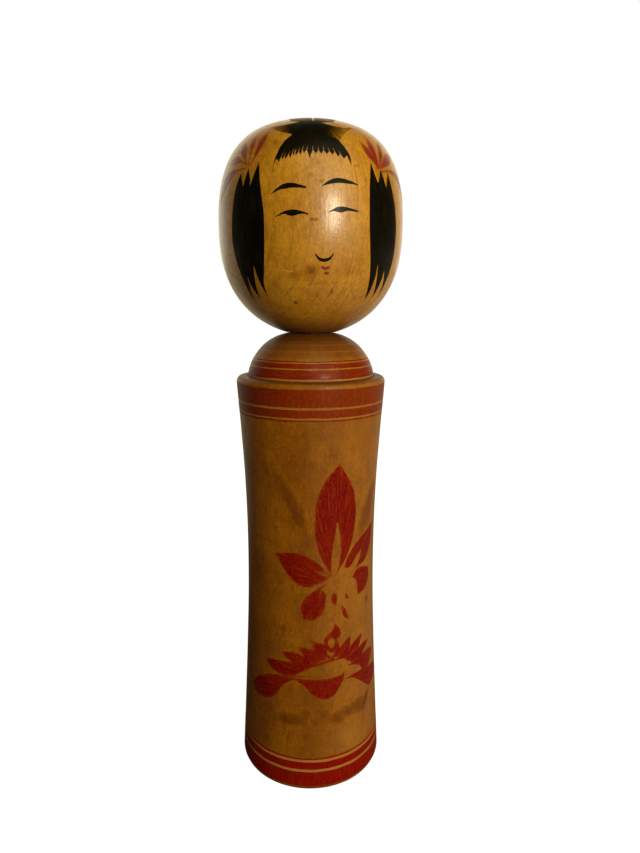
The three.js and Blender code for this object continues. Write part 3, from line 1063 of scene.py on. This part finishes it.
def make_upper_flower():
    top_leaf = outline(
        TRUNK,
        [(13.1, 89.1), (6.3, 96.2), (4.2, 104.9), (6.1, 114.2), (13.1, 121.4), (23.8, 126.9)],
        [(32.5, 121.0), (38.6, 115.5), (41.4, 108.0), (39.0, 98.5), (32.5, 91.5), (21.6, 84.4)],
        [(25.4, 89.4), (26.7, 93.8), (25.9, 100.1), (23.3, 105.3)],
        [(20.6, 98.5), (18.6, 92.0), (18.6, 84.6)],
    )
    left_leaf = outline(
        TRUNK,
        [(-19.0, 93.9), (-7.0, 93.6), (6.0, 90.6), (18.3, 84.6)],
        [(7.2, 82.2), (-1.4, 81.2), (-11.3, 82.4), (-20.6, 86.6), (-30.6, 93.0)],
    )
    low_left = outline(
        TRUNK,
        [(7.0, 80.6), (-2.0, 77.8), (-7.4, 73.6), (-5.7, 69.0)],
        [(1.0, 68.2), (6.0, 69.0), (11.5, 71.6), (14.2, 77.6)],
        [(11.0, 79.9), (7.6, 77.0)],
        [(10.2, 80.2), (17.6, 83.0)],
    )
    small = [
        outline(TRUNK, [(20.6, 78.2), (23.4, 77.4), (23.6, 75.0), (21.8, 73.3), (19.0, 74.6), (18.2, 77.6)]),
        outline(TRUNK, [(34.0, 76.4), (34.6, 74.6)], [(32.0, 75.4), (31.6, 77.4)]),
        outline(TRUNK, [(31.8, 71.0), (35.6, 66.6)], [(30.4, 68.0), (27.2, 73.2)]),
    ]
    right_leaf = outline(
        TRUNK,
        [(36.0, 92.6), (46.5, 96.6), (68.7, 100.4)],
        [(66.4, 94.0), (57.6, 87.8), (42.6, 85.6)],
        [(47.6, 89.0), (50.2, 92.6)],
        [(44.0, 90.6), (37.4, 87.4)],
        [(33.6, 86.8), (30.0, 87.6)],
    )
    right_petal = outline(
        TRUNK,
        [(43.5, 85.0), (53.0, 85.2), (63.4, 83.2)],
        [(62.6, 78.8), (55.9, 75.8), (46.0, 74.6)],
        [(45.0, 77.6), (43.4, 81.0), (39.0, 82.6)],
    )
    vein = stroke(TRUNK, [(4.7, 87.3, 0.1), (10.5, 86.0, 0.5), (16.8, 84.9, 0.15)])
    petals = [top_leaf, left_leaf, low_left, *small, right_leaf, right_petal]
    flower("flower_upper", petals, [vein], root=(20.5, 83.0), dry_reach=8.0)


def make_lower_flower():
    crest = outline(
        TRUNK,
        [(-29.5, 46.2), (-36.0, 47.6), (-40.6, 49.8)],
        [(-33.1, 50.9), (-24.0, 51.1), (-15.5, 51.6)],
        [(-20.0, 52.8), (-24.1, 55.0)],
        [(-16.0, 55.5), (-10.0, 55.2), (-4.6, 54.2)],
        [(-8.0, 55.9), (-11.0, 57.6)],
        [(-5.4, 57.8), (-0.5, 57.2), (2.6, 56.8)],
        [(2.4, 58.8), (0.6, 60.8)],
        [(5.6, 59.6), (9.0, 59.4), (12.4, 58.8)],
        [(11.8, 59.8), (13.2, 61.2), (16.2, 62.6), (19.6, 63.8), (21.6, 66.2)],
        [(25.4, 64.4), (27.0, 62.3), (25.8, 60.7), (23.2, 59.9)],
        [(25.0, 58.4), (26.4, 56.4)],
        [(30.5, 58.0), (36.8, 59.8)],
        [(37.0, 57.8), (35.8, 55.5)],
        [(42.0, 56.9), (50.7, 58.6)],
        [(49.4, 56.2), (45.7, 53.3)],
        [(52.5, 54.2), (61.7, 54.0)],
        [(57.2, 52.0), (50.1, 50.0)],
        [(59.0, 50.1), (69.8, 48.9)],
        [(67.0, 45.6), (60.2, 42.7)],
        [(68.0, 42.0), (78.4, 40.2)],
        [(77.6, 37.4), (73.3, 35.7), (60.9, 34.1)],
        [(56.5, 35.7), (48.4, 39.0), (40.8, 41.6), (34.8, 42.8), (29.8, 43.0)],
        [(38.6, 43.8), (46.0, 43.6), (50.0, 43.9)],
        [(46.4, 46.1), (39.6, 47.4), (33.4, 48.0)],
        [(38.6, 48.6)],
        [(33.2, 50.2), (29.6, 51.5), (24.6, 51.6), (15.5, 51.2)],
        [(7.6, 50.4), (1.3, 49.6), (-6.0, 48.0), (-11.5, 46.6), (-20.0, 45.2)],
    )
    bud = [(20.4, 60.3), (21.0, 58.0), (18.8, 56.9), (16.2, 58.0), (15.8, 59.6), (18.0, 61.0)]
    eyelet = outline(TRUNK, [(15.4, 54.4), (18.8, 53.4), (22.0, 54.8)], [(18.6, 54.9), (14.4, 56.2)])
    slits = [
        stroke(TRUNK, [(13.2, 53.6, 0.1), (15.6, 52.6, 0.5), (17.6, 52.8, 0.1)]),
        stroke(TRUNK, [(20.2, 53.0, 0.1), (22.4, 52.5, 0.45), (25.0, 53.4, 0.1)]),
        stroke(TRUNK, [(6.5, 51.7, 0.1), (9.4, 52.2, 0.4), (12.6, 52.0, 0.1)]),
    ]
    left_petal = outline(
        TRUNK,
        [(-49.5, 41.0), (-37.9, 43.9), (-26.0, 45.2), (-12.0, 45.0)],
        [(-17.0, 43.6), (-22.5, 41.6), (-29.9, 36.8), (-36.0, 34.6), (-46.0, 33.4), (-54.5, 34.2),
         (-58.8, 36.2)],
    )
    middle_petal = outline(
        TRUNK,
        [(-9.0, 45.3), (1.0, 45.0), (12.0, 44.9), (20.0, 44.9), (26.0, 45.2), (30.8, 46.3)],
        [(29.2, 43.4), (25.0, 40.2), (20.0, 37.6), (13.7, 36.7), (7.0, 37.6), (1.0, 39.4), (-5.0, 42.6),
         (-16.0, 45.4)],
    )
    thread = stroke(TRUNK, [(-24.0, 45.2, 0.7), (-14.7, 45.9, 0.6), (-2.0, 46.2, 0.35), (11.3, 45.7, 0.15)])
    petals, holes = [crest, left_petal, middle_petal, thread], [outline(TRUNK, bud), eyelet, *slits]
    flower("flower_lower", petals, holes, root=(10.0, 46.5), dry_reach=3.0)


# ---------------------------------------------------------------- stage

CAMERA_AT = (0.00338, -0.2313, 0.1810)  # in metres
CAMERA_DOWN = 11.15  # in degrees, like the roll
CAMERA_ROLL = -0.18
SENSOR_WIDTH = 36  # in millimetres, like the lens
CAMERA_LENS = 26.0
LIT_Z = 0.15  # height that the lights face, in metres
FLOOR_HALF = 6.0  # half the floor's side, in metres


def make_camera():
    data = bpy.data.cameras.new("camera")
    data.sensor_width = SENSOR_WIDTH
    data.lens = CAMERA_LENS
    data.clip_start = 0.01
    camera = new_object("camera", data)
    camera.location = CAMERA_AT
    camera.rotation_mode = "XYZ"
    camera.rotation_euler = (math.radians(90 - CAMERA_DOWN), math.radians(CAMERA_ROLL), 0)
    bpy.context.scene.camera = camera


def soft_light(name, azimuth, elevation, distance, size, power, colour):
    """An area light in that direction from the doll's neck, facing it. Lengths here are in metres."""
    data = bpy.data.lights.new(name, "AREA")
    data.shape = "RECTANGLE"
    data.size, data.size_y = size
    data.energy = power
    data.color = colour
    light = new_object(name, data)
    a, e = math.radians(azimuth), math.radians(elevation)
    away = Vector((math.sin(a) * math.cos(e), -math.cos(a) * math.cos(e), math.sin(e)))
    light.location = Vector((0, 0, LIT_Z)) + distance * away
    light.rotation_mode = "QUATERNION"
    light.rotation_quaternion = away.to_track_quat("Z", "Y")
    light.visible_camera = False


def make_stage():
    floor_mesh = bpy.data.meshes.new("floor")
    corners = [(-1, -1), (1, -1), (1, 1), (-1, 1)]
    floor_mesh.from_pydata([(x * FLOOR_HALF, y * FLOOR_HALF, 0) for x, y in corners], [], [(0, 1, 2, 3)])
    floor = new_object("floor", floor_mesh)
    floor.location.z = -0.1 * MM
    material, tree = new_material("floor_paper")
    ray = node(tree, "ShaderNodeLightPath").outputs["Is Camera Ray"]
    place = node(tree, "ShaderNodeTexCoord").outputs["Object"]
    far = node(tree, "ShaderNodeVectorMath", {0: place}, operation="LENGTH").outputs["Value"]
    # Seen from the camera the floor glows a little dimmer near the doll: a painted shade round its foot.
    white = between(tree, far, 0.05, 0.2, 0.955, 1.02)
    pale = node(tree, "ShaderNodeEmission", {"Color": rgb(1, 1, 1), "Strength": white})
    paper = node(tree, "ShaderNodeBsdfDiffuse", {"Color": rgb(0.3, 0.3, 0.3)})
    seen = node(tree, "ShaderNodeAddShader", {0: pale.outputs[0], 1: paper.outputs[0]})
    # To other rays the floor is dark, with a painted glow behind the doll and to its right that stands for
    # lit paper and lights the doll.
    dark = node(tree, "ShaderNodeBsdfDiffuse", {"Color": rgb(0.09, 0.08, 0.06)})
    parts = node(tree, "ShaderNodeSeparateXYZ", {0: place}).outputs
    from_behind = between(tree, parts[1], 0.05, 0.5, 0.0, 0.55)
    from_right = between(tree, parts[0], 0.0, 0.08, 0.0, 0.22)
    bounce = maths(tree, "MAXIMUM", from_behind, from_right)
    painted_floor_light = node(tree, "ShaderNodeEmission", {"Color": rgb(1, 0.82, 0.50), "Strength": bounce})
    lit = node(tree, "ShaderNodeAddShader", {0: dark.outputs[0], 1: painted_floor_light.outputs[0]})
    both = node(tree, "ShaderNodeMixShader", {0: ray, 1: lit.outputs[0], 2: seen.outputs[0]})
    node(tree, "ShaderNodeOutputMaterial", {"Surface": both.outputs[0]})
    floor_mesh.materials.append(material)

    world = bpy.data.worlds.new("studio")
    world.use_nodes = True
    tree = world.node_tree
    tree.nodes.clear()
    direction = node(tree, "ShaderNodeTexCoord").outputs["Generated"]
    parts = node(tree, "ShaderNodeSeparateXYZ", {0: direction}).outputs
    behind = between(tree, maths(tree, "MULTIPLY_ADD", parts[0], -0.12, parts[1]), 0.42, 0.9)
    warm = mixed(tree, behind, rgb(0.024, 0.019, 0.007), rgb(1.25, 1.14, 0.84))
    white = mixed(tree, node(tree, "ShaderNodeLightPath").outputs["Is Camera Ray"], warm, rgb(1, 1, 1))
    back = node(tree, "ShaderNodeBackground", {"Color": white, "Strength": 1.0})
    node(tree, "ShaderNodeOutputWorld", {"Surface": back.outputs[0]})
    bpy.context.scene.world = world

    soft_light("lamp", 27.0, 13.0, 0.9, (0.17, 0.2), 3.7, (1.0, 0.95, 0.70))
    soft_light("window", 24.0, 47.0, 1.1, (0.9, 0.9), 3.7, (1.0, 0.96, 0.55))
    soft_light("right", 52.0, 8.0, 1.1, (0.5, 0.8), 1.2, (1.0, 0.82, 0.35))
    bpy.context.scene.view_settings.view_transform = "Standard"


make_camera()
make_head()
make_body()
make_bands()
make_face()
make_spots()
make_locks()
make_forelock()
make_ribbons()
make_upper_flower()
make_lower_flower()
make_smudges()
make_stage()
